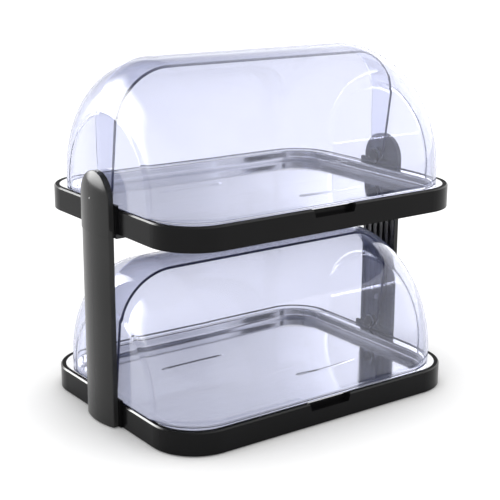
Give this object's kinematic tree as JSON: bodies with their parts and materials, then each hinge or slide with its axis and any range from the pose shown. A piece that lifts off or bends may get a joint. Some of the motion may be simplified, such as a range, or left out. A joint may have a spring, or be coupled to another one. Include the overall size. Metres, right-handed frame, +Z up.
{
  "type": "refrigerated display case",
  "caption": "Two-tier roll-top chilled display case: moulded bases with cold packs under steel trays, clear round hoods whose fronts turn back, and two side posts.",
  "frame": {"origin": "floor level under the middle of the case", "axes": "+X to the right along the length, +Y to the back, +Z up; the front hoods open from -Y"},
  "size_m": [0.4504, 0.32, 0.4225],
  "materials": {
    "black_casing": "satin black moulded plastic",
    "charcoal_post": "satin charcoal moulded plastic",
    "black_spine": "black ribbed moulded plastic",
    "steel_tray": "polished stainless sheet",
    "clear_hood": "clear plastic with a faint lavender tint",
    "gel_pack": "pale blue cold pack skin",
    "dark_pin": "dark hinge pin",
    "nylon_ring": "natural nylon",
    "steel_screw": "zinc plated",
    "rubber_foot": "black rubber"
  },
  "bodies": {
    "case": {"lower_base_casing": "black_casing", "lower_tray": "steel_tray", "lower_rear_hood": "clear_hood", "lower_right_cold_pack": "gel_pack", "lower_right_hinge_pin": "dark_pin", "lower_right_hub_washer": "nylon_ring", "lower_right_hinge_bush": "nylon_ring", "lower_right_base_screws": "steel_screw", "lower_left_cold_pack": "gel_pack", "lower_left_hinge_pin": "dark_pin", "lower_left_hub_washer": "nylon_ring", "lower_left_hinge_bush": "nylon_ring", "lower_left_base_screws": "steel_screw", "upper_base_casing": "black_casing", "upper_tray": "steel_tray", "upper_rear_hood": "clear_hood", "upper_right_cold_pack": "gel_pack", "upper_right_hinge_pin": "dark_pin", "upper_right_hub_washer": "nylon_ring", "upper_right_hinge_bush": "nylon_ring", "upper_right_base_screws": "steel_screw", "upper_left_cold_pack": "gel_pack", "upper_left_hinge_pin": "dark_pin", "upper_left_hub_washer": "nylon_ring", "upper_left_hinge_bush": "nylon_ring", "upper_left_base_screws": "steel_screw", "right_post_column": "charcoal_post", "right_post_cap": "charcoal_post", "right_post_spine": "black_spine", "right_cover_screws": "steel_screw", "left_post_column": "charcoal_post", "left_post_cap": "charcoal_post", "left_post_spine": "black_spine", "left_cover_screws": "steel_screw", "front_left_foot": "rubber_foot", "front_right_foot": "rubber_foot", "rear_left_foot": "rubber_foot", "rear_right_foot": "rubber_foot"},
    "lower_front_cover": {"lower_front_hood": "clear_hood"},
    "upper_front_cover": {"upper_front_hood": "clear_hood"}
  },
  "joints": [
    {"name": "lower_cover_hinge", "type": "hinge", "parent": "case", "child": "lower_front_cover", "pos_m": [0, 0, 0.0415], "axis": [-1, 0, 0], "range_deg": [0, 84]},
    {"name": "upper_cover_hinge", "type": "hinge", "parent": "case", "child": "upper_front_cover", "pos_m": [0, 0, 0.2735], "axis": [-1, 0, 0], "range_deg": [0, 84]}
  ]
}
